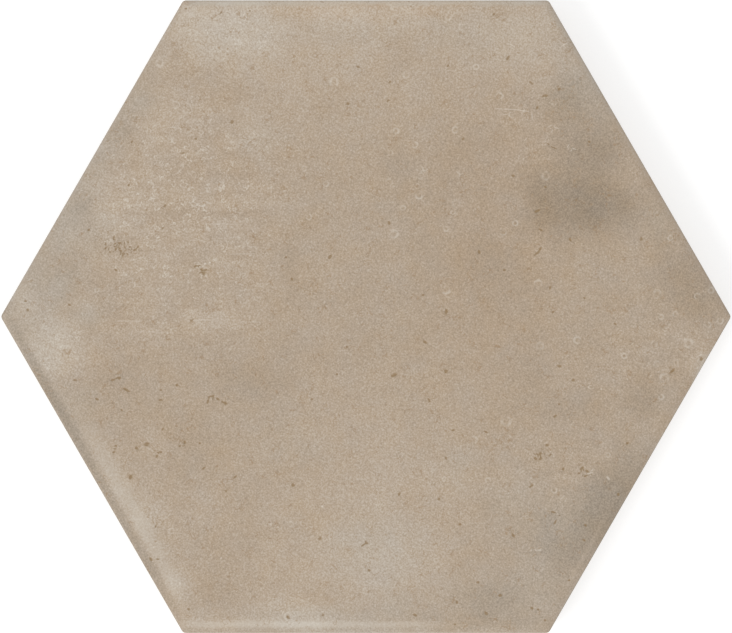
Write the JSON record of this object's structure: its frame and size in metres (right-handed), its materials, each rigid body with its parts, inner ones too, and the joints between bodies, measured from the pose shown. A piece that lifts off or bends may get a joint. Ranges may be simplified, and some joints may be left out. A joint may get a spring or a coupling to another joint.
{
  "type": "wall tile",
  "caption": "Small hexagonal ceramic wall tile with a flat matt face, soft shoulders along its sides and a honeycomb key on its back.",
  "frame": {"origin": "centre of the back, on the plane of the lands that meet the wall", "axes": "+Z out through the face, +X towards a corner, +Y towards a flat side"},
  "size_m": [0.1234, 0.107, 0.0085],
  "materials": {
    "matt_ceramic": "matte"
  },
  "bodies": {
    "root": {"hexagon_tile": "matt_ceramic"}
  },
  "joints": []
}
